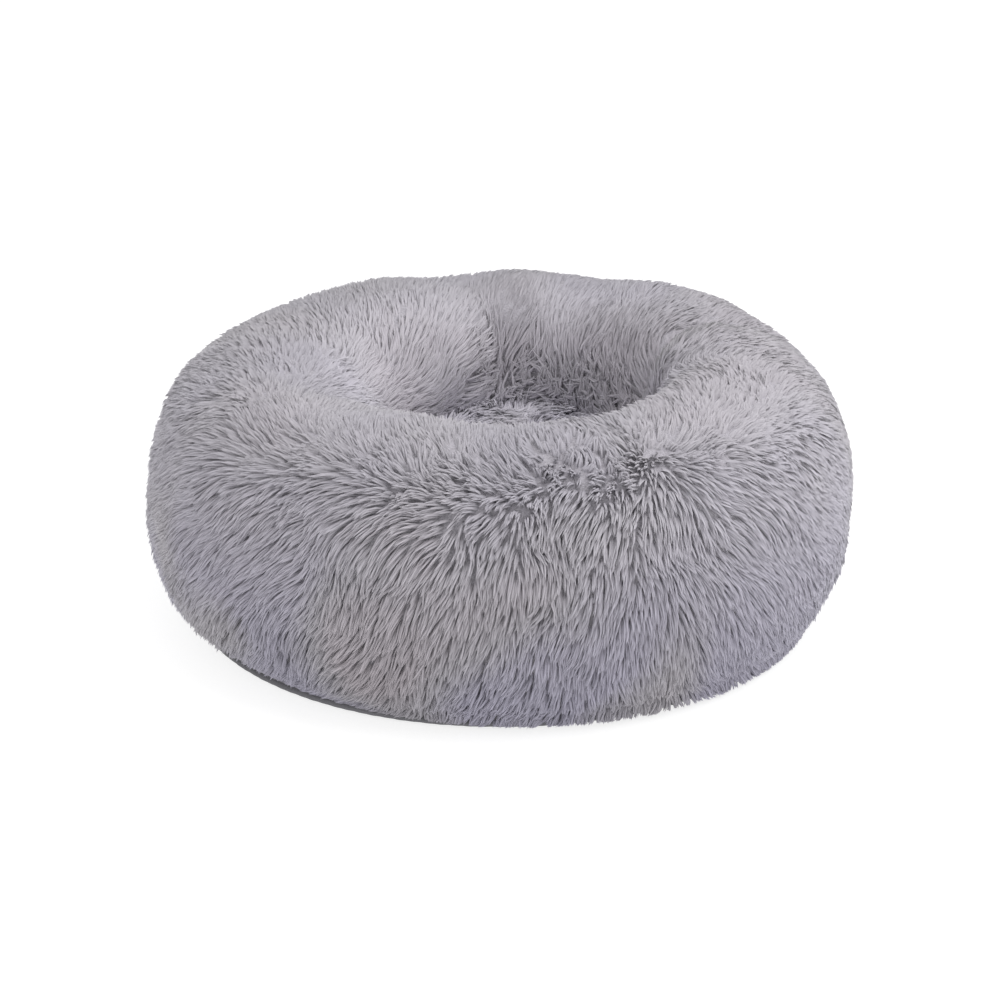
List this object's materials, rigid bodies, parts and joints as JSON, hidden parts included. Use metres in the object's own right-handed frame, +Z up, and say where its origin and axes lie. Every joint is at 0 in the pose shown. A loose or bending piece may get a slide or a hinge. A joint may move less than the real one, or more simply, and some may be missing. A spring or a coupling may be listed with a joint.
{
  "type": "pet cushion bed",
  "caption": "Round long-pile pet bed: a stuffed ring bolster round a padded sleeping well, in a washable cover with a zip round the rear of the rim.",
  "frame": {"origin": "on the floor under the middle of the bed", "axes": "+Z up, the front faces -Y, the zip is round the rear (+Y)"},
  "size_m": [0.6, 0.6, 0.223],
  "materials": {
    "grey_plush": "long shaggy pile, soft sheen",
    "nonwoven": "matte nonwoven",
    "fibre": "loose white fibre",
    "oxford_cloth": "plain weave, slightly shiny",
    "piping_cloth": "woven bias tape",
    "cotton_cord": "twisted cord",
    "dot_rubber": "matte",
    "label_satin": "satin",
    "zip_tape": "herringbone weave",
    "zip_coil": "nylon",
    "stop_metal": "crimped",
    "slider_paint": "semi-gloss"
  },
  "bodies": {
    "bed": {"plush_panel_right": "grey_plush", "plush_panel_left": "grey_plush", "well_floor_plush": "grey_plush", "bolster_case": "nonwoven", "bolster_filling": "fibre", "floor_cushion_case": "nonwoven", "floor_cushion_filling": "fibre", "bottom_panel": "oxford_cloth", "rim_piping": "piping_cloth", "piping_cord": "cotton_cord", "grip_dots": "dot_rubber", "care_label": "label_satin", "zip_tape_upper": "zip_tape", "zip_tape_lower": "zip_tape", "zip_coil_upper": "zip_coil", "zip_coil_lower": "zip_coil", "zip_stops": "stop_metal"},
    "slider": {"slider_body": "slider_paint", "slider_bridge": "slider_paint"},
    "pull": {"zip_pull": "slider_paint"}
  },
  "joints": [
    {"name": "zip_slide", "type": "hinge", "parent": "bed", "child": "slider", "pos_m": [0, 0, 0.0176], "axis": [0, 0, 1], "range_deg": [-156.5, 0]},
    {"name": "pull_flip", "type": "hinge", "parent": "slider", "child": "pull", "pos_m": [-0.26088, 0.046, 0.0176], "axis": [0, 0, 1], "range_deg": [0, 160]}
  ]
}
